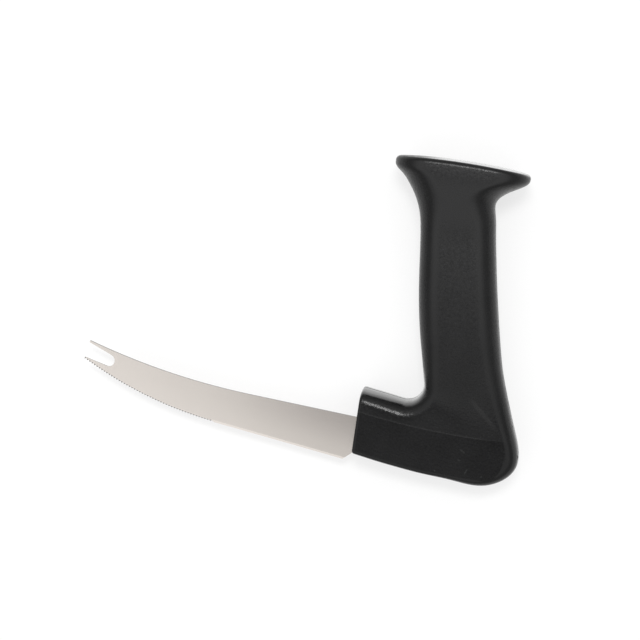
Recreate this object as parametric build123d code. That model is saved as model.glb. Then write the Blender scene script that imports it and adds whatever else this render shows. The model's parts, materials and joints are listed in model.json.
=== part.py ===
"""Right-angle vegetable knife: a forked, finely toothed blade in a moulded upright handle.

Drawing frame, in millimetres: +X runs along the tang towards the heel of the handle,
+Y runs up the grip, and Z = 0 is the middle of the blade's thickness. The origin is
where the blade's spine enters the handle. At the end the knife is laid down on its side,
as it comes to rest, with its origin under the middle of its footprint.
"""
import os
from math import atan2, cos, degrees, radians, sin, sqrt, tan

from build123d import *

# Blade: a thin strip ground flat from spine to edge
SPINE_THICKNESS = 1.3
BEVEL_THICKNESS = 0.5
EDGE_THICKNESS = 0.12
BEVEL_HEIGHT = 1.1
BLADE_LENGTH = 140.1
SPINE_SLOPE = 0.38
SPINE_STRAIGHT = 55.0
SPINE_RADIUS = 353.0
HEEL_X = -3.2
HEEL_Y = -22.1
HEEL_CHAMFER_ANGLE = 45.0
EDGE_STRAIGHT = 67.0
EDGE_SLOPE = 3.45
EDGE_RADIUS = 196.0
TIP_LEAN = 8.5
SWEEP_STEPS = 10

# Fork at the tip
FORK_DEPTH = 15.5
FORK_CENTRE_Y = 1.3
FORK_RADIUS = 3.05
FORK_HEADING = 165.6
FORK_FLARE = 4.15

# Teeth: round gullets side by side, so that a sharp point is left between each two
TOOTH_PITCH = 1.48
GULLET_RADIUS = 0.76
TOOTH_COUNT = 49

# Cutters for the blade: the length left past its tip, their reach and half their thickness
PAST_TIP = 3.0
CUT_REACH = 20.0
CUT_HALF = 4.0

# Tang, hidden in the handle
TANG_START = 2.5
TANG_END = 62.0
TANG_BOTTOM = -14.0
TANG_TOP = -0.5
TANG_CORNER = 4.0
LOCK_HOLE_RADIUS = 3.0
LOCK_HOLE_INSET = 14.0

# Base of the handle
FRONT_TOP_X = -0.1
FRONT_BOTTOM_X = 1.5
STRIP_FRONT_Y = 15.7
STRIP_LENGTH = 20.4
STRIP_SLOPE = 4.6
FRONT_BOTTOM_Y = -17.25
BOTTOM_SLOPE = 7.0
BOTTOM_RADIUS = 315.0
BOTTOM_TURN = 12.0
HEEL_RADIUS = 14.8
HEEL_TURN = 108.2
BASE_HALF = 12.25
STRIP_EDGE = 6.0
BOTTOM_EDGE = 1.8
HEEL_EDGE = 9.0
SIDE_CROWN = 36.0
FRONT_ROUNDING = 1.4
BLOCK_SHARES = (0.0, 0.35, 0.7)

# Raised flat panel on each side of the base
PANEL_RAISE = 0.2
PANEL_FRONT_GAP = 1.7
PANEL_BOTTOM_GAP = 3.6
PANEL_HEEL_GAP = 7.5
PANEL_TOP_Y = 3.9
PANEL_TOP_RADIUS = 450.0

# Crook between base and grip, with the bearings from its centre where the form changes
CROOK_RADIUS = 8.0
CROOK_EDGE = 7.5
CROOK_HALF = 13.0
CROOK_STEPS = 8
SWELL_BEARINGS = (-15, 15)
HEEL_EDGE_BEARINGS = (-75, -5)

# Grip
GRIP_LEAN = 14.5
GRIP_HALF = 14.0
GRIP_EDGE = 10.5
GRIP_FRONT_POINTS = [(22.0, 47.0), (16.4, 72.0)]
GRIP_BACK_POINTS = [(71.7, 20.2), (65.4, 35.3), (58.6, 57.7), (52.3, 82.0)]
GRIP_BLEND = (-0.05, 0.25)
GRIP_SHARES = (0.1, 0.2, 0.32, 0.44, 0.56, 0.66, 0.74, 0.81, 0.865, 0.905, 0.93, 0.95, 0.97, 1.0)

# Flange at the top of the grip
FRONT_FLARE_START = (11.7, 99.0)
FRONT_FLARE_HEADING = 101.5
FRONT_FLARE_RADIUS = 40.0
FRONT_FLARE_TURN = 38.5
FRONT_RUN = 4.1
REAR_FLARE_START = (45.15, 113.75)
REAR_FLARE_HEADING = 102.5
REAR_FLARE_RADIUS = 6.5
REAR_FLARE_TURN = 69.5
REAR_RUN = 11.2
NOSE_RADIUS = 2.6
NOSE_HEADING = 92.0
NOSE_RUN = 14.0
FLANGE_HALF = 18.5
FLANGE_EDGE = 17.0
FLANGE_BLEND = (0.66, 0.93)
FLANGE_FRONT_Y = 132.5
FLANGE_REAR_Y = 136.0
TOP_X = 40.0
TOP_Y = 132.5
TOP_RADIUS = 318.0
RIM_ROUNDING = 2.3

# Rest: the heights on the grip of the two places that touch the table
REST_FLANGE_Y = 125.6
REST_PANEL_Y = -15.8

HALVINGS = 24


def heading(angle):
    """The unit vector that points at an angle in degrees."""
    return Vector(cos(radians(angle)), sin(radians(angle)))


def ease(value, limits):
    """A smooth rise from 0 at the first limit to 1 at the second."""
    share = min(max((value - limits[0]) / (limits[1] - limits[0]), 0.0), 1.0)
    return share * share * (3 - 2 * share)


def blend(first, last, share):
    """The value that lies a share of the way from the first to the last."""
    return first + (last - first) * share


def where(rail, measure, target):
    """The point of a rail where a measure that grows along it reaches a target."""
    low = 0.0
    high = 1.0
    for _ in range(HALVINGS):
        middle = (low + high) / 2
        if measure(rail @ middle) < target:
            low = middle
        else:
            high = middle
    return rail @ low


def nose(flare, run_length):
    """The end of a flare: a straight run, the round nose of the flange and a run past it."""
    turn = NOSE_HEADING - degrees(atan2((flare % 1).Y, (flare % 1).X))
    run = Line(flare @ 1, flare @ 1 + (flare % 1) * run_length)
    tip = JernArc(run @ 1, run % 1, NOSE_RADIUS, turn)
    return [run, tip, Line(tip @ 1, tip @ 1 + (tip % 1) * NOSE_RUN)]


def crook_arc():
    """The hollow where the base's top strip turns up into the front of the grip."""
    strip_end = Vector(FRONT_TOP_X, STRIP_FRONT_Y) + heading(-STRIP_SLOPE) * STRIP_LENGTH
    return JernArc(strip_end, heading(-STRIP_SLOPE), CROOK_RADIUS, 90 + STRIP_SLOPE + GRIP_LEAN)


def inner_rail():
    """Crest of the base's top strip, the crook, the grip's front and the front nose."""
    crook = crook_arc()
    strip = Line((FRONT_TOP_X, STRIP_FRONT_Y), crook @ 0)
    flare = JernArc(FRONT_FLARE_START, heading(FRONT_FLARE_HEADING), FRONT_FLARE_RADIUS, FRONT_FLARE_TURN)
    front = Spline(crook @ 1, *GRIP_FRONT_POINTS, flare @ 0, tangents=[crook % 1, flare % 0])
    return Wire([strip, crook, front, flare, *nose(flare, FRONT_RUN)])


def base_arcs():
    """The long arc under the base and the arc round its heel."""
    start = (FRONT_BOTTOM_X, FRONT_BOTTOM_Y)
    bottom = JernArc(start, heading(-BOTTOM_SLOPE), BOTTOM_RADIUS, BOTTOM_TURN)
    return bottom, JernArc(bottom @ 1, bottom % 1, HEEL_RADIUS, HEEL_TURN)


def outer_rail():
    """Crest of the base's bottom, the heel, the grip's back and the rear nose."""
    bottom, heel = base_arcs()
    flare = JernArc(REAR_FLARE_START, heading(REAR_FLARE_HEADING), REAR_FLARE_RADIUS, -REAR_FLARE_TURN)
    back = Spline(heel @ 1, *GRIP_BACK_POINTS, flare @ 0, tangents=[heel % 1, flare % 0])
    return Wire([bottom, heel, back, flare, *nose(flare, REAR_RUN)])


def corner(half, edge):
    """One rounded corner of a section: end of the crown, middle and end of the round."""
    land = SIDE_CROWN - sqrt((SIDE_CROWN - edge) ** 2 - (half - edge) ** 2)
    crown_angle = atan2(half - edge, land - SIDE_CROWN)
    middle_angle = (crown_angle + radians(90)) / 2
    crown_end = (SIDE_CROWN + SIDE_CROWN * cos(crown_angle), SIDE_CROWN * sin(crown_angle))
    middle = (land + edge * cos(middle_angle), half - edge + edge * sin(middle_angle))
    return crown_end, middle, (land, half)


def section(inner, outer, half, inner_edge, outer_edge):
    """A rounded rectangle across the handle, with crowned narrow sides."""
    length = (outer - inner).length
    across = (outer - inner).normalized()
    near = corner(half, inner_edge)
    far = [(length - u, w) for u, w in corner(half, outer_edge)]

    def at(point, side=1):
        return inner + across * point[0] + Vector(0, 0, side * point[1])

    return make_face([
        ThreePointArc(at(near[0], -1), inner, at(near[0])),
        ThreePointArc(at(near[0]), at(near[1]), at(near[2])),
        Line(at(near[2]), at(far[2])),
        ThreePointArc(at(far[2]), at(far[1]), at(far[0])),
        ThreePointArc(at(far[0]), outer, at(far[0], -1)),
        ThreePointArc(at(far[0], -1), at(far[1], -1), at(far[2], -1)),
        Line(at(far[2], -1), at(near[2], -1)),
        ThreePointArc(at(near[2], -1), at(near[1], -1), at(near[0], -1)),
    ])


def handle_body():
    """The whole moulding in one skin, carried by two rails from the front to the flange."""
    inner = inner_rail()
    outer = outer_rail()
    crook = crook_arc()
    hub = crook.center_point

    def bearing_of(point):
        return degrees(atan2(point.Y - hub.Y, point.X - hub.X))

    first_bearing = bearing_of(crook @ 0)
    last_bearing = bearing_of(crook @ 1)
    sections = []
    foot = where(outer, bearing_of, first_bearing)
    for share in BLOCK_SHARES:
        top = where(inner, lambda p: p.X, blend(FRONT_TOP_X, (crook @ 0).X, share))
        low = where(outer, lambda p: p.X, blend(FRONT_BOTTOM_X, foot.X, share))
        edge = blend(STRIP_EDGE, CROOK_EDGE, share)
        sections.append(section(top, low, BASE_HALF, edge, BOTTOM_EDGE))

    for step in range(CROOK_STEPS + 1):
        bearing = blend(first_bearing, last_bearing, step / CROOK_STEPS)
        half = blend(BASE_HALF, CROOK_HALF, ease(bearing, SWELL_BEARINGS))
        heel_edge = blend(BOTTOM_EDGE, HEEL_EDGE, ease(bearing, HEEL_EDGE_BEARINGS))
        start = hub + heading(bearing) * CROOK_RADIUS
        end = where(outer, bearing_of, bearing)
        sections.append(section(start, end, half, CROOK_EDGE, heel_edge))

    for share in GRIP_SHARES:
        front = where(inner, lambda p: p.Y, blend((crook @ 1).Y, FLANGE_FRONT_Y, share))
        back = where(outer, lambda p: p.Y, blend(end.Y, FLANGE_REAR_Y, share))
        grip = ease(share, GRIP_BLEND)
        flange = ease(share, FLANGE_BLEND)
        half = blend(blend(CROOK_HALF, GRIP_HALF, grip), FLANGE_HALF, flange)
        near_edge = blend(blend(CROOK_EDGE, GRIP_EDGE, grip), FLANGE_EDGE, flange)
        far_edge = blend(blend(HEEL_EDGE, GRIP_EDGE, grip), FLANGE_EDGE, flange)
        sections.append(section(front, back, half, near_edge, far_edge))
    return loft(sections)


def panel_outline():
    """The flat of the base: a shallow arc above, the base's own curves below."""
    bottom, heel = base_arcs()
    lift = Vector(0, PANEL_BOTTOM_GAP)
    low_left = bottom @ 0 + lift + Vector(PANEL_FRONT_GAP, 0)
    heel_end = heel.center_point + Vector(HEEL_RADIUS - PANEL_HEEL_GAP, 0)
    middle_x = (low_left.X + heel_end.X) / 2
    end_rise = PANEL_TOP_RADIUS - sqrt(PANEL_TOP_RADIUS ** 2 - (middle_x - low_left.X) ** 2)
    top_left = Vector(low_left.X + FRONT_TOP_X - FRONT_BOTTOM_X, PANEL_TOP_Y + end_rise)
    top_right = Vector(heel.center_point.X, PANEL_TOP_Y + end_rise)
    return make_face([
        ThreePointArc(low_left, bottom @ 0.5 + lift, bottom @ 1 + lift),
        ThreePointArc(bottom @ 1 + lift, heel_end, top_right),
        ThreePointArc(top_right, (middle_x, PANEL_TOP_Y), top_left),
        Line(top_left, low_left),
    ])


def make_handle(blade):
    """The finished moulding, with its flat panels and the pocket that the tang fills."""
    handle = handle_body()
    handle &= Pos(TOP_X, TOP_Y - TOP_RADIUS, 0) * Cylinder(TOP_RADIUS, 4 * FLANGE_HALF)
    top = handle.faces().sort_by(Axis.Y)[-1]
    handle = fillet(top.edges(), RIM_ROUNDING)
    front = handle.faces().filter_by(GeomType.PLANE).sort_by(Axis.X)[0]
    handle = fillet(front.edges(), FRONT_ROUNDING)
    panel = extrude(panel_outline(), BASE_HALF + PANEL_RAISE, both=True)
    return handle + panel - blade


def spine_y(x):
    """Height of the blade's back: straight out of the handle, then swept up."""
    past = max(-SPINE_STRAIGHT - x, 0.0)
    return x * tan(radians(SPINE_SLOPE)) + SPINE_RADIUS - sqrt(SPINE_RADIUS ** 2 - past ** 2)


def edge_arc():
    """Where the plain edge ends, and the centre of the arc that carries the teeth."""
    start = Vector(HEEL_X, HEEL_Y) + heading(180 - EDGE_SLOPE) * EDGE_STRAIGHT
    return start, start + heading(90 - EDGE_SLOPE) * EDGE_RADIUS


def edge_y(x):
    """Height of the cutting edge before its teeth are cut."""
    start, centre = edge_arc()
    if x > start.X:
        return HEEL_Y + (HEEL_X - x) * tan(radians(EDGE_SLOPE))
    return centre.Y - sqrt(EDGE_RADIUS ** 2 - (x - centre.X) ** 2)


def blade_section(x):
    """The blade at one place along it: a flat-ground wedge with a bevelled edge."""
    spine = (spine_y(x), SPINE_THICKNESS / 2)
    bevel = (edge_y(x) + BEVEL_HEIGHT, BEVEL_THICKNESS / 2)
    edge = (edge_y(x), EDGE_THICKNESS / 2)
    one_side = [(x, y, z) for y, z in (spine, bevel, edge)]
    other_side = [(x, y, -z) for y, z in (edge, bevel, spine)]
    return make_face(Polyline(*one_side, *other_side, close=True))


def blade_strip():
    """The blade before its tip, heel, fork and teeth are cut, from the handle to past its tip."""
    swept = [blend(-SPINE_STRAIGHT, -BLADE_LENGTH - PAST_TIP, step / SWEEP_STEPS)
             for step in range(SWEEP_STEPS + 1)]
    straight_part = loft([blade_section(TANG_START), blade_section(-SPINE_STRAIGHT)], ruled=True)
    return straight_part + loft([blade_section(x) for x in swept])


def cutter(outline):
    """A cutter of this outline that passes right through the blade."""
    return extrude(outline, CUT_HALF, both=True)


def corner_cutter(point, direction, away):
    """A cutter whose straight side runs through a point; it takes what lies away from it."""
    low = point - direction * CUT_REACH
    high = point + direction * CUT_REACH
    return cutter(make_face(Polyline(low, high, high + away, low + away, close=True)))


def fork_cutter():
    """The notch between the two tines: a round end and slightly opening sides."""
    centre = Vector(FORK_DEPTH - FORK_RADIUS - BLADE_LENGTH, FORK_CENTRE_Y)
    upper = FORK_HEADING - FORK_FLARE
    lower = FORK_HEADING + FORK_FLARE
    upper_start = centre + heading(upper - 90) * FORK_RADIUS
    lower_start = centre + heading(lower + 90) * FORK_RADIUS
    round_end = ThreePointArc(lower_start, centre - heading(FORK_HEADING) * FORK_RADIUS, upper_start)
    upper_end = upper_start + heading(upper) * CUT_REACH
    lower_end = lower_start + heading(lower) * CUT_REACH
    return cutter(make_face([round_end, Polyline(upper_start, upper_end, lower_end, lower_start)]))


def gullets():
    """The round cuts of the teeth, side by side along the swept part of the edge."""
    centre = edge_arc()[1]
    gap = sqrt(GULLET_RADIUS ** 2 - (TOOTH_PITCH / 2) ** 2)
    cuts = []
    for tooth in range(TOOTH_COUNT):
        swing = degrees((tooth + 0.5) * TOOTH_PITCH / EDGE_RADIUS)
        place = centre - heading(90 - EDGE_SLOPE - swing) * (EDGE_RADIUS + gap)
        cuts.append(Pos(place) * Cylinder(GULLET_RADIUS, 2 * CUT_HALF))
    return cuts


def tang():
    """The blade's tail, with the two holes that the moulding fills to lock it."""
    plan = Pos((TANG_START + TANG_END) / 2, (TANG_BOTTOM + TANG_TOP) / 2)
    plan *= Rectangle(TANG_END - TANG_START, TANG_TOP - TANG_BOTTOM)
    plan = fillet(plan.vertices().group_by(Axis.X)[-1], TANG_CORNER)
    for x in (TANG_START + LOCK_HOLE_INSET, TANG_END - LOCK_HOLE_INSET):
        plan -= Pos(x, (TANG_BOTTOM + TANG_TOP) / 2) * Circle(LOCK_HOLE_RADIUS)
    return extrude(plan, SPINE_THICKNESS / 2, both=True)


def make_blade():
    """Blade and tang as one strip of steel."""
    tip = Vector(-BLADE_LENGTH, edge_y(-BLADE_LENGTH))
    heel = Vector(HEEL_X, HEEL_Y)
    blade = blade_strip()
    blade -= corner_cutter(tip, heading(90 - TIP_LEAN), Vector(-CUT_REACH, 0))
    blade -= corner_cutter(heel, heading(HEEL_CHAMFER_ANGLE), Vector(0, -CUT_REACH))
    blade -= fork_cutter()
    blade -= gullets()
    return blade + tang()


def laid_down(pieces):
    """The pieces turned onto the side that meets the table, origin under their middle."""
    step_out = FLANGE_HALF - BASE_HALF - PANEL_RAISE
    rest_tilt = degrees(atan2(step_out, REST_FLANGE_Y - REST_PANEL_Y))
    turned = [Rot(X=rest_tilt) * piece for piece in pieces]
    box = Compound(turned).bounding_box()
    place = Pos(-box.center().X, -box.center().Y, -box.min.Z)
    return [place * piece for piece in turned]


if __name__ == "__main__":
    blade = make_blade()
    handle = make_handle(blade)
    os.makedirs("parts", exist_ok=True)
    for name, piece in zip(("blade", "handle"), laid_down([blade, handle])):
        export_step(piece, f"parts/{name}.step")
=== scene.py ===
import json
import math

import bmesh
import bpy
from mathutils import Matrix, Vector


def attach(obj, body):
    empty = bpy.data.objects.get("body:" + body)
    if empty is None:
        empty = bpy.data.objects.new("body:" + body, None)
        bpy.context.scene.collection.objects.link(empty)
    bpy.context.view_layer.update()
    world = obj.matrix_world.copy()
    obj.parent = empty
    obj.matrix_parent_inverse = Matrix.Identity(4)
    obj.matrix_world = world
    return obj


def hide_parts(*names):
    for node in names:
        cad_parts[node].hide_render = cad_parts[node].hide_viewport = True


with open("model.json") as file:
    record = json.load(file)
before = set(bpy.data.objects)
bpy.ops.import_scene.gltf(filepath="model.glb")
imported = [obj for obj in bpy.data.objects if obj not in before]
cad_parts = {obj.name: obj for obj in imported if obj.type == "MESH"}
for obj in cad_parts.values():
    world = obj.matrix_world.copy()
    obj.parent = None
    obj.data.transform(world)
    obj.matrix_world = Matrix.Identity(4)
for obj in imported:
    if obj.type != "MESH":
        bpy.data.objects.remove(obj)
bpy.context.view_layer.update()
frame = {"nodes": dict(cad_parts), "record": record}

# Lengths are in metres, apart from those of the knife's own drawing frame, which are in
# millimetres: x along the tang towards the heel, y up the grip, h out of the blade's middle.
MM = 0.001

# The place of the upper panel's mount in the drawing frame
PANEL_MOUNT = (38.0, -6.0, 12.45)

# Camera: its place and its aim in the drawing frame, the turn of the photograph and its lens
CAMERA_PLACE = (54.4, 154.9, 710.0)
CAMERA_AIM = (-27.2, 43.3, 0.0)
PHOTO_TURN = 12.0
FOCAL_PIXELS = 1482.3
FRAME_PIXELS = 640.0
SENSOR = 36.0
NEAREST = 0.01
FARTHEST = 20.0

# Ledge above the flat panel of the base: the lowest point and the radius of its arc, a height
# that the arc stays under, the band that keeps the panel's rise, and where the ledge fades in
LEDGE_X = 33.8
LEDGE_Y = 3.87
LEDGE_RADIUS = 372.0
LEDGE_CLIMB = 2.0
LEDGE_BAND = 0.5
LEDGE_END = (68.0, 60.0)

# Handle's surface: half its thickness beside the panel, the gap that is closed between its
# faces, and the angle in degrees from which an edge stays sharp
SIDE_HALF = 12.25
MERGE_GAP = 0.002
SHARP_ANGLE = 28.0

# Zones of the handle along x or y, each from where it starts to where it is full: the top
# strip with the crook behind it, the flange's top, the grip, and the grip's part with painted light
STRIP_X = (34.0, 26.0)
STRIP_HEAD_Y = (34.0, 20.0)
STRIP_FOOT_Y = (11.0, 13.0)
FLANGE_TOP_Y = (130.5, 132.0)
GRIP_Y = (12.0, 26.0)
PALE_GRIP_Y = (30.0, 95.0)

# Zones by how far a surface faces along the blade's thickness: 1 is a flat side, 0 a wall
STRIP_FACING = (0.72, 0.42)
FLANGE_FACING = (0.45, 0.20)
LEDGE_FACING = (0.70, 0.90)
FLAT_FACING = (0.86, 0.98)
# The steel's walls and rims, which get painted shade
STEEL_RIM_FACING = (0.90, 0.60)

# Zones by height over the ledge's arc: the face above it, and its line of painted highlight, by
# how far a point is off the line's middle
ABOVE_LEDGE = (-0.3, 0.5)
LEDGE_LINE_MIDDLE = 0.1
LEDGE_LINE_OFF = (0.45, 0.10)

# Parting line of the mould: half its width, what the top strip adds to that, the share of it
# that is at full depth, and the depth in metres
SEAM_WIDTH = 0.2
SEAM_WIDENING = 0.5
SEAM_CORE = 0.4
SEAM_DEPTH = 0.0008

# Marks on the handle, with their sizes: a painted highlight streak, then marks of use
HIGHLIGHT_STREAK = ((50.2, 24.5), (69.4, 9.0))
HIGHLIGHT_STREAK_WIDTH = 1.6
SCRATCHES = (
    ((57.7, -10.4), (56.5, -13.9)),
    ((52.0, -1.9), (55.2, -3.5)),
    ((51.9, -7.1), (53.7, -7.6)),
)
SCRATCH_WIDTH = 0.5
NICKS = ((75.1, 13.3, 6.0), (80.1, -1.1, 6.0))
NICK_RADIUS = 1.1
SPECKS = ((69.3, 16.4, 12.3), (42.5, -14.9, 12.3), (64.8, -13.0, 12.3))
SPECK_RADIUS = 0.5
DUST_SPACING = 9.0
DUST_RADIUS = 0.3

# Shares of a mark: what is at full strength of a spot and of a stroke's width, and what fades
# at each end of a stroke
SPOT_CORE = 0.5
STROKE_CORE = 0.2
STROKE_FADE = 0.3

# Plastic: its clouds, and the painted light on the grip: what it is at its foot and what it gains
# upwards
PLASTIC_CLOUD_SCALE = 0.06
PLASTIC_CLOUD = (0.3, 0.7)
PALE_BASE = 0.2
PALE_GAIN = 0.55

# Plastic's grain: its scale, its depth in metres, its strength, what the face above the ledge
# adds, and the share that polish takes away
GRAIN_SCALE = 0.9
GRAIN_DEPTH = 0.0004
GRAIN_STRENGTH = 0.08
GRAIN_ABOVE_LEDGE = 0.2
GRAIN_POLISHED_AWAY = 0.8

# Plastic's roughness, and what the grip, the grain, polish and the parting line add to it
PLASTIC_ROUGHNESS = 0.22
GRIP_ROUGHENS = 0.10
GRAIN_ROUGHENS = 0.4
POLISH_ROUGHENS = -0.12
SEAM_ROUGHENS = 0.4
PLASTIC_IOR = 1.5
PLASTIC_SPECULAR = 0.26
POLISH_ROUGHNESS = 0.22
POLISH_IOR = 1.85

# Arc of the cutting edge that carries the teeth: its centre, its radius and where it starts
EDGE_CENTRE = (-58.3, 177.6)
EDGE_RADIUS = 196.0
EDGE_START = math.radians(86.55)

# Teeth: pitch, round gullets and how deep their middles lie. The grind between them, which gets
# painted shade, fades in towards a gullet, away from a gullet's middle, and from the start of the
# arc.
TOOTH_PITCH = 1.48
GULLET_RADIUS = 0.76
GULLET_DEPTH = 0.17
GRIND_OUTER = GULLET_RADIUS + 0.55
GRIND_INNER = GULLET_RADIUS + 0.20
GRIND_ALONG = (0.22, 0.50)
GRIND_START = (0.0, 0.004)

# Steel: its ground strokes, their depth in metres, its clouds and its pits
STROKE_STRETCH = (0.22, 9.0, 9.0)
STROKE_DEPTH = 0.00006
STROKE_STRENGTH = 0.12
STROKE_ROUGHENS = 0.12
STEEL_ROUGHNESS = 0.18
STEEL_CLOUD_SCALE = 0.05
PIT_SPACING = 7.0
PIT_RADIUS = 0.2

# Painted shade on the steel, towards the spine and the handle: where it grows, its least and its
# gain
SPINE_Y = (-21.0, 0.0)
SPINE_BASE = 0.3
SPINE_GAIN = 0.7
HANDLE_X = (-80.0, 5.0)
HANDLE_BASE = 0.2
HANDLE_GAIN = 0.75

# Colours
DEEP_BLACK = (0.0042, 0.0042, 0.0044, 1.0)
SOFT_BLACK = (0.0066, 0.0066, 0.0069, 1.0)
# Painted light on the grip's flat sides
GRIP_LIGHT_BLACK = (0.0210, 0.0210, 0.0213, 1.0)
# Parting line: a real line whose near black is partly painted shade of its groove
SEAM_SHADE_BLACK = (0.001, 0.001, 0.001, 1.0)
# Rubbed scratches, and painted highlights on the ledge's line and a streak
RUBBED_AND_HIGHLIGHT_BLACK = (0.03, 0.03, 0.03, 1.0)
DUST_GREY = (0.05, 0.05, 0.05, 1.0)
BRIGHT_STEEL = (0.820, 0.765, 0.716, 1.0)
DARKER_STEEL_AND_PAINTED_SHADE = (0.520, 0.483, 0.452, 1.0)
# Painted shade of the steel's rims and of the teeth's grind
RIM_SHADE_STEEL = (0.150, 0.140, 0.135, 1.0)
TOOTH_SHADE_STEEL = (0.070, 0.070, 0.075, 1.0)
PIT_STEEL = (0.29, 0.29, 0.29, 1.0)
TABLE_WHITE = (0.96, 0.96, 0.96, 1.0)
WHITE = (1.0, 1.0, 1.0, 1.0)

# Ground: a pale table, wide enough to fill every view, and how much of its shadow shows
FLOOR_SIZE = 6.0
FLOOR_ROUGHNESS = 0.9
FLOOR_SHADOW_SHARE = 0.32

# Dome of even light: dim right overhead, where the camera stands, bright round that and
# less bright near the horizon. The edges are cosines of the angle from straight up.
DOME_BRIGHT = 1.08
DOME_DIM = 0.22
DOME_LOW = 0.55
HOLE_EDGE = (0.936, 0.966)
RING_EDGE = (0.40, 0.62)

# Soft box on the grip's side, placed and aimed in the drawing frame
LAMP_PLACE = (15.0, 510.0, 1060.0)
LAMP_AIM = (15.0, 10.0, 0.0)
LAMP_WIDTH = 0.3
LAMP_HEIGHT = 0.2
LAMP_RADIANCE = 28.0


def drawing_frame():
    """The knife's drawing frame in the row's frame: origin in metres, tilt about X, its turn."""
    mount = next(m for m in frame["record"]["mounts"] if m["name"] == "upper_panel")
    tilt = math.atan2(-mount["axis"][1], mount["axis"][2])
    turn = Matrix.Rotation(tilt, 3, "X")
    origin = Vector(mount["pos_m"]) - turn @ Vector(PANEL_MOUNT) * MM
    return origin, tilt, turn


ORIGIN, TILT, TURN = drawing_frame()


def at(x, y, h):
    """A point of the drawing frame, in millimetres, as a point of the row's frame."""
    return ORIGIN + TURN @ Vector((x, y, h)) * MM


class Graph:
    """The node tree of one material or world, with short calls that add a node."""

    def __init__(self, tree):
        self.tree = tree

    def add(self, kind, inputs=None, **settings):
        """A node with these settings, its inputs linked or set by name or number."""
        node = self.tree.nodes.new(kind)
        for name, value in settings.items():
            setattr(node, name, value)
        for key, value in (inputs or {}).items():
            self.feed(node.inputs[key], value)
        return node

    def feed(self, socket, value):
        """Links a socket to another one, or sets it to a plain value."""
        if isinstance(value, bpy.types.NodeSocket):
            self.tree.links.new(value, socket)
        else:
            socket.default_value = value

    def calc(self, operation, *values):
        """One arithmetic step on up to three values."""
        node = self.add("ShaderNodeMath", dict(enumerate(values)), operation=operation)
        return node.outputs[0]

    def join(self, operation, first, *others):
        """One operation over any number of values, such as their product or the largest."""
        for value in others:
            first = self.calc(operation, first, value)
        return first

    def scaled(self, value, scale, offset):
        """A value times a scale, plus an offset."""
        return self.calc("MULTIPLY_ADD", value, scale, offset)

    def rest(self, share):
        """What a share leaves of 1."""
        return self.calc("SUBTRACT", 1.0, share)

    def length(self, first, second):
        """The length that two parts at a right angle make."""
        return self.calc("SQRT", self.scaled(first, first, self.calc("MULTIPLY", second, second)))

    def step(self, value, start, end, low=0.0, high=1.0):
        """A smooth change from low to high while the value goes from start to end."""
        inputs = {"Value": value, "From Min": start, "From Max": end, "To Min": low, "To Max": high}
        node = self.add("ShaderNodeMapRange", inputs, interpolation_type="SMOOTHSTEP")
        return node.outputs["Result"]

    def noise(self, vector, scale, detail, roughness):
        """Plain noise, from 0 to 1."""
        inputs = {"Vector": vector, "Scale": scale, "Detail": detail, "Roughness": roughness}
        return self.add("ShaderNodeTexNoise", inputs).outputs["Fac"]

    def specks(self, vector, spacing, radius):
        """Scattered round specks, 1 inside them and 0 outside."""
        cells = self.add("ShaderNodeTexVoronoi", {"Vector": vector, "Scale": 1.0 / spacing})
        return self.step(cells.outputs["Distance"], radius / spacing, SPOT_CORE * radius / spacing)

    def spot(self, vector, centre, radius):
        """One round mark: 1 at its centre and 0 outside it."""
        node = self.add("ShaderNodeVectorMath", {0: vector, 1: centre}, operation="DISTANCE")
        return self.step(node.outputs["Value"], radius, SPOT_CORE * radius)

    def stroke(self, x, y, ends, width):
        """One straight mark between two points, fading towards its ends."""
        (start_x, start_y), (end_x, end_y) = ends
        length = math.hypot(end_x - start_x, end_y - start_y)
        lean_x = (end_x - start_x) / length
        lean_y = (end_y - start_y) / length
        from_x = self.calc("SUBTRACT", x, start_x)
        from_y = self.calc("SUBTRACT", y, start_y)
        along = self.scaled(from_x, lean_x, self.calc("MULTIPLY", from_y, lean_y))
        across = self.scaled(from_x, -lean_y, self.calc("MULTIPLY", from_y, lean_x))
        mark = self.step(self.calc("ABSOLUTE", across), width, STROKE_CORE * width)
        fade_in = self.step(along, 0.0, STROKE_FADE * length)
        fade_out = self.step(along, length, (1.0 - STROKE_FADE) * length)
        return self.join("MULTIPLY", mark, fade_in, fade_out)

    def mix(self, share, first, second, strength=1.0):
        """A colour between two, by a share of this strength."""
        inputs = {"Factor": self.calc("MULTIPLY", share, strength), "A": first, "B": second}
        return self.add("ShaderNodeMix", inputs, data_type="RGBA").outputs["Result"]

    def blend(self, share, first, second):
        """A shader between two, by share."""
        return self.add("ShaderNodeMixShader", {0: share, 1: first, 2: second}).outputs["Shader"]

    def drawing(self, stretch=(1.0, 1.0, 1.0)):
        """The drawing frame's x, y and h in millimetres, each divided by its stretch."""
        inputs = {
            "Vector": self.add("ShaderNodeTexCoord").outputs["Object"],
            "Location": ORIGIN,
            "Rotation": (TILT, 0.0, 0.0),
            "Scale": [MM * s for s in stretch],
        }
        return self.add("ShaderNodeMapping", inputs, vector_type="TEXTURE").outputs["Vector"]

    def facing(self):
        """How far a surface faces along the blade's thickness: 1 for flat sides, 0 for walls."""
        normal = self.add("ShaderNodeNewGeometry").outputs["Normal"]
        inputs = {0: normal, 1: TURN @ Vector((0.0, 0.0, 1.0))}
        turned = self.add("ShaderNodeVectorMath", inputs, operation="DOT_PRODUCT")
        return self.calc("ABSOLUTE", turned.outputs["Value"])

    def split(self, vector):
        """The three parts of a vector."""
        return self.add("ShaderNodeSeparateXYZ", {"Vector": vector}).outputs


def new_material(name):
    """A fresh material: its graph and its shader node."""
    material = bpy.data.materials.new(name)
    material.use_nodes = True
    return material, Graph(material.node_tree), material.node_tree.nodes["Principled BSDF"]


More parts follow.
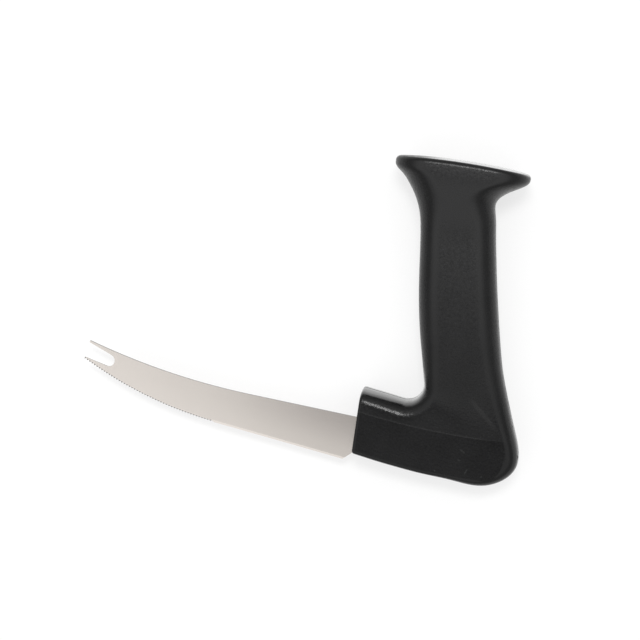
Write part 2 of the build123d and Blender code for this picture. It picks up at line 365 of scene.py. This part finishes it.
def over_ledge(graph, x, y):
    """Height over the arc of the panel's ledge."""
    from_middle = graph.calc("POWER", graph.calc("SUBTRACT", x, LEDGE_X), 2.0)
    return graph.calc("SUBTRACT", y, graph.scaled(from_middle, 0.5 / LEDGE_RADIUS, LEDGE_Y))


def top_strip(graph, x, y):
    """The strip on top of the base, with the crook behind it."""
    head = graph.step(y, *STRIP_HEAD_Y)
    foot = graph.step(y, *STRIP_FOOT_Y)
    return graph.join("MULTIPLY", head, graph.step(x, *STRIP_X), foot)


def polished(graph, y, facing, strip):
    """The polished walls: those of the top strip, and the flange's top."""
    walls = graph.calc("MULTIPLY", graph.step(facing, *STRIP_FACING), strip)
    top = graph.calc("MULTIPLY", graph.step(facing, *FLANGE_FACING), graph.step(y, *FLANGE_TOP_Y))
    return graph.calc("MAXIMUM", walls, top)


def parting_line(graph, place, h, strip):
    """The mould's parting line, wider on the top strip, and the nicks on the back edge."""
    width = graph.scaled(strip, SEAM_WIDENING, SEAM_WIDTH)
    line = graph.step(graph.calc("DIVIDE", graph.calc("ABSOLUTE", h), width), 1.0, SEAM_CORE)
    nicks = [graph.spot(place, nick, NICK_RADIUS) for nick in NICKS]
    return graph.join("MAXIMUM", line, *nicks)


def ledge_highlight(graph, x, over, facing):
    """A painted highlight: the light line that the ledge's step catches along its arc."""
    off = graph.calc("ABSOLUTE", graph.calc("SUBTRACT", over, LEDGE_LINE_MIDDLE))
    line = graph.step(off, *LEDGE_LINE_OFF)
    return graph.join("MULTIPLY", line, graph.step(x, *LEDGE_END), graph.step(facing, *LEDGE_FACING))


def painted_grip_light(graph, y, above, facing):
    """Painted light on the grip's flat sides, more of it the higher they are."""
    pale = graph.scaled(graph.step(y, *PALE_GRIP_Y), PALE_GAIN, PALE_BASE)
    return graph.join("MULTIPLY", pale, graph.step(facing, *FLAT_FACING), above)


def pale_specks(graph, place):
    """Pale specks: fine ones scattered anywhere and a few at set places."""
    scattered = graph.specks(place, DUST_SPACING, DUST_RADIUS)
    placed = [graph.spot(place, speck, SPECK_RADIUS) for speck in SPECKS]
    return graph.join("MAXIMUM", scattered, *placed)


def plastic_colour(graph, place, over, above, facing, seam):
    """Clouded black, painted light up the grip, painted highlights, marks of use and a dark seam."""
    x, y, _ = graph.split(place)
    clouds = graph.noise(place, PLASTIC_CLOUD_SCALE, detail=3.0, roughness=0.5)
    scratches = [graph.stroke(x, y, ends, SCRATCH_WIDTH) for ends in SCRATCHES]
    # Scratches, and the painted highlight along the ledge's line
    rubbed_and_highlight = graph.join("MAXIMUM", ledge_highlight(graph, x, over, facing), *scratches)
    # Painted highlight: a pale streak where the grip blends into the base
    streak_highlight = graph.stroke(x, y, HIGHLIGHT_STREAK, HIGHLIGHT_STREAK_WIDTH)
    colour = graph.mix(graph.step(clouds, *PLASTIC_CLOUD), DEEP_BLACK, SOFT_BLACK)
    # Painted light on the grip's flat sides, growing upwards
    colour = graph.mix(painted_grip_light(graph, y, above, facing), colour, GRIP_LIGHT_BLACK)
    colour = graph.mix(rubbed_and_highlight, colour, RUBBED_AND_HIGHLIGHT_BLACK, strength=0.5)
    colour = graph.mix(streak_highlight, colour, RUBBED_AND_HIGHLIGHT_BLACK, strength=0.3)
    colour = graph.mix(pale_specks(graph, place), colour, DUST_GREY, strength=0.35)
    # Parting line and nicks: real marks, their near black partly painted shade
    return graph.mix(seam, colour, SEAM_SHADE_BLACK)


def plastic_roughness(graph, y, grain, polish, seam):
    """Roughness: more on the grip and in the parting line, less where it is polished."""
    rough = graph.scaled(graph.step(y, *GRIP_Y), GRIP_ROUGHENS, PLASTIC_ROUGHNESS)
    rough = graph.scaled(graph.calc("SUBTRACT", grain, 0.5), GRAIN_ROUGHENS, rough)
    rough = graph.scaled(polish, POLISH_ROUGHENS, rough)
    return graph.scaled(seam, SEAM_ROUGHENS, rough)


def plastic_relief(graph, grain, above, polish, seam):
    """Relief: grain, stronger above the ledge and faint on the polish, and the parting line."""
    unpolished = graph.rest(graph.calc("MULTIPLY", polish, GRAIN_POLISHED_AWAY))
    strength = graph.scaled(above, GRAIN_ABOVE_LEDGE, GRAIN_STRENGTH)
    grained = {
        "Height": grain,
        "Strength": graph.calc("MULTIPLY", strength, unpolished),
        "Distance": GRAIN_DEPTH,
    }
    lined = {
        "Height": graph.rest(seam),
        "Strength": 1.0,
        "Distance": SEAM_DEPTH,
        "Normal": graph.add("ShaderNodeBump", grained).outputs["Normal"],
    }
    return graph.add("ShaderNodeBump", lined).outputs["Normal"]


def black_plastic():
    """Black moulded plastic: a fine spark-eroded grain, smoother panels and a parting line."""
    material, graph, shader = new_material("black_plastic")
    place = graph.drawing()
    x, y, h = graph.split(place)
    over = over_ledge(graph, x, y)
    above = graph.step(over, *ABOVE_LEDGE)
    facing = graph.facing()
    strip = top_strip(graph, x, y)
    polish = polished(graph, y, facing, strip)
    seam = parting_line(graph, place, h, strip)
    grain = graph.noise(place, GRAIN_SCALE, detail=3.0, roughness=0.6)
    colour = plastic_colour(graph, place, over, above, facing, seam)
    graph.feed(shader.inputs["Base Color"], colour)
    graph.feed(shader.inputs["Roughness"], plastic_roughness(graph, y, grain, polish, seam))
    graph.feed(shader.inputs["Normal"], plastic_relief(graph, grain, above, polish, seam))
    graph.feed(shader.inputs["Coat Weight"], graph.calc("MULTIPLY", polish, graph.rest(seam)))
    shader.inputs["IOR"].default_value = PLASTIC_IOR
    shader.inputs["Specular IOR Level"].default_value = PLASTIC_SPECULAR
    shader.inputs["Coat Roughness"].default_value = POLISH_ROUGHNESS
    shader.inputs["Coat IOR"].default_value = POLISH_IOR
    return material


def tooth_grind_shade(graph, x, y):
    """Painted shade on the teeth's hollow grind: 1 on each point between two gullets, 0 elsewhere.
    """
    to_centre_x = graph.calc("SUBTRACT", EDGE_CENTRE[0], x)
    to_centre_y = graph.calc("SUBTRACT", EDGE_CENTRE[1], y)
    swing = graph.calc("SUBTRACT", EDGE_START, graph.calc("ARCTAN2", to_centre_y, to_centre_x))
    tooth = graph.calc("MULTIPLY", swing, EDGE_RADIUS / TOOTH_PITCH)
    along = graph.calc("SUBTRACT", graph.calc("FRACT", tooth), 0.5)
    along = graph.calc("MULTIPLY", along, TOOTH_PITCH)
    reach = graph.length(to_centre_y, to_centre_x)
    out = graph.calc("SUBTRACT", reach, EDGE_RADIUS + GULLET_DEPTH)
    near_gullet = graph.step(graph.length(out, along), GRIND_OUTER, GRIND_INNER)
    between = graph.step(graph.calc("ABSOLUTE", along), *GRIND_ALONG)
    return graph.join("MULTIPLY", near_gullet, between, graph.step(swing, *GRIND_START))


def steel_colour(graph, place, strokes):
    """Warm grey with painted shade towards the handle and the spine, on the teeth's grind and the
    rims.
    """
    x, y, _ = graph.split(place)
    # Painted shade: darker towards the spine and towards the handle
    spine = graph.scaled(graph.step(y, *SPINE_Y), SPINE_GAIN, SPINE_BASE)
    shade = graph.scaled(graph.step(x, *HANDLE_X), HANDLE_GAIN, HANDLE_BASE)
    clouds = graph.noise(place, STEEL_CLOUD_SCALE, detail=2.0, roughness=0.5)
    pits = graph.specks(place, PIT_SPACING, PIT_RADIUS)
    painted_rim_shade = graph.step(graph.facing(), *STEEL_RIM_FACING)
    colour = graph.mix(graph.calc("MULTIPLY", shade, spine), BRIGHT_STEEL, DARKER_STEEL_AND_PAINTED_SHADE)
    colour = graph.mix(clouds, colour, DARKER_STEEL_AND_PAINTED_SHADE, strength=0.12)
    colour = graph.mix(strokes, colour, DARKER_STEEL_AND_PAINTED_SHADE, strength=0.12)
    colour = graph.mix(pits, colour, PIT_STEEL, strength=0.3)
    # Painted shade on the teeth's hollow grind
    colour = graph.mix(tooth_grind_shade(graph, x, y), colour, TOOTH_SHADE_STEEL, strength=0.9)
    # Painted shade on the steel's walls and rims, such as the spine's edge and the gullets' walls
    return graph.mix(painted_rim_shade, colour, RIM_SHADE_STEEL, strength=0.9)


def satin_steel():
    """Stainless steel ground across the blade, a little darker away from its edge by painted shade.
    """
    material, graph, shader = new_material("satin_steel")
    strokes = graph.noise(graph.drawing(STROKE_STRETCH), 1.0, detail=3.0, roughness=0.6)
    rough = graph.scaled(strokes, STROKE_ROUGHENS, STEEL_ROUGHNESS)
    ground = {"Height": strokes, "Strength": STROKE_STRENGTH, "Distance": STROKE_DEPTH}
    graph.feed(shader.inputs["Base Color"], steel_colour(graph, graph.drawing(), strokes))
    graph.feed(shader.inputs["Roughness"], rough)
    graph.feed(shader.inputs["Normal"], graph.add("ShaderNodeBump", ground).outputs["Normal"])
    shader.inputs["Metallic"].default_value = 1.0
    return material


def ease(value, start, end):
    """A smooth rise from 0 at the start to 1 at the end."""
    share = min(max((value - start) / (end - start), 0.0), 1.0)
    return share * share * (3.0 - 2.0 * share)


def ledge_share(x, y):
    """How much of the panel's rise stays: all of it along the ledge, none at its other edges."""
    below = LEDGE_Y + (x - LEDGE_X) ** 2 / (2.0 * LEDGE_RADIUS) - y
    return ease(below, 2.0 * LEDGE_BAND, LEDGE_BAND) * ease(x, *LEDGE_END)


def ease_panel(vertex):
    """Lowers a vertex of the panel's plate to the side, apart from what the ledge keeps."""
    x, y, h = TURN.transposed() @ (vertex.co - ORIGIN) / MM
    rise = abs(h) - SIDE_HALF
    if y < LEDGE_Y + LEDGE_CLIMB and rise > 0.0:
        vertex.co = at(x, y, math.copysign(SIDE_HALF + rise * ledge_share(x, y), h))


def eased_handle():
    """The moulding as it shows: the CAD node's surface, its panels rising to the ledge alone."""
    mesh = frame["nodes"]["handle"].data.copy()
    skin = bpy.data.objects.new("handle_skin", mesh)
    bpy.context.scene.collection.objects.link(skin)
    mesh.attributes.remove(mesh.attributes["custom_normal"])
    work = bmesh.new()
    work.from_mesh(mesh)
    for vertex in work.verts:
        ease_panel(vertex)
    bmesh.ops.remove_doubles(work, verts=work.verts, dist=MERGE_GAP * MM)
    bmesh.ops.dissolve_degenerate(work, edges=work.edges, dist=MERGE_GAP * MM)
    for face in work.faces:
        face.smooth = True
    for edge in work.edges:
        edge.smooth = edge.calc_face_angle(0.0) < math.radians(SHARP_ANGLE)
    work.to_mesh(mesh)
    work.free()
    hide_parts("handle")
    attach(skin, "root")
    return skin


def dress(piece, material):
    """Gives a piece its only material."""
    piece.data.materials.clear()
    piece.data.materials.append(material)


def table_top():
    """White that keeps a share of its shadow for the camera and none in reflections."""
    material, graph, shader = new_material("pale_floor")
    shader.inputs["Base Color"].default_value = TABLE_WHITE
    shader.inputs["Roughness"].default_value = FLOOR_ROUGHNESS
    shader.inputs["Specular IOR Level"].default_value = 0.0
    white = graph.add("ShaderNodeEmission", {"Color": WHITE, "Strength": 1.0})
    path = graph.add("ShaderNodeLightPath").outputs
    share = graph.calc("MULTIPLY", path["Is Camera Ray"], 1.0 - FLOOR_SHADOW_SHARE)
    share = graph.calc("MAXIMUM", share, path["Is Glossy Ray"])
    both = graph.blend(share, shader.outputs["BSDF"], white.outputs["Emission"])
    graph.feed(material.node_tree.nodes["Material Output"].inputs["Surface"], both)
    return material


def pale_floor():
    """The white table, which keeps a soft shadow of the knife."""
    bpy.ops.mesh.primitive_plane_add(size=FLOOR_SIZE, location=(0.0, 0.0, 0.0))
    floor = bpy.context.active_object
    floor.name = "floor"
    dress(floor, table_top())


def pale_world():
    """The dome of light, which the camera sees as plain white."""
    world = bpy.data.worlds.new("pale_world")
    world.use_nodes = True
    bpy.context.scene.world = world
    graph = Graph(world.node_tree)
    up = graph.split(graph.add("ShaderNodeTexCoord").outputs["Generated"])["Z"]
    hole = graph.step(up, *HOLE_EDGE, DOME_BRIGHT, DOME_DIM)
    ring = graph.step(up, *RING_EDGE, DOME_LOW, DOME_BRIGHT)
    level = graph.calc("MINIMUM", hole, ring)
    light = graph.add("ShaderNodeBackground", {"Color": WHITE, "Strength": level})
    white = graph.add("ShaderNodeBackground", {"Color": WHITE, "Strength": 1.0})
    seen = graph.add("ShaderNodeLightPath").outputs["Is Camera Ray"]
    both = graph.blend(seen, light.outputs["Background"], white.outputs["Background"])
    graph.feed(world.node_tree.nodes["World Output"].inputs["Surface"], both)


def side_lamp():
    """One brighter soft box on the grip's side, which lights the rounding under the top strip."""
    data = bpy.data.lights.new("far_side", "AREA")
    data.shape = "RECTANGLE"
    data.size = LAMP_WIDTH
    data.size_y = LAMP_HEIGHT
    data.energy = LAMP_RADIANCE * math.pi * LAMP_WIDTH * LAMP_HEIGHT
    lamp = bpy.data.objects.new("far_side", data)
    place = at(*LAMP_PLACE)
    lamp.location = place
    lamp.rotation_euler = (at(*LAMP_AIM) - place).to_track_quat("-Z", "Y").to_euler()
    bpy.context.scene.collection.objects.link(lamp)


def photo_camera():
    """The camera at the photograph's place, worked out in the plane of the blade."""
    data = bpy.data.cameras.new("photo_camera")
    data.sensor_width = SENSOR
    data.lens = FOCAL_PIXELS / FRAME_PIXELS * SENSOR
    data.clip_start = NEAREST
    data.clip_end = FARTHEST
    camera = bpy.data.objects.new("photo_camera", data)
    place = at(*CAMERA_PLACE)
    back = (place - at(*CAMERA_AIM)).normalized()
    turn = math.radians(PHOTO_TURN)
    right = TURN @ Vector((math.cos(turn), math.sin(turn), 0.0))
    right = (right - back * right.dot(back)).normalized()
    axes = Matrix((right, back.cross(right), back)).transposed()
    camera.matrix_world = Matrix.Translation(place) @ axes.to_4x4()
    bpy.context.scene.collection.objects.link(camera)
    bpy.context.scene.camera = camera


dress(eased_handle(), black_plastic())
dress(frame["nodes"]["blade"], satin_steel())
pale_floor()
pale_world()
side_lamp()
photo_camera()
bpy.context.scene.view_settings.view_transform = "Standard"
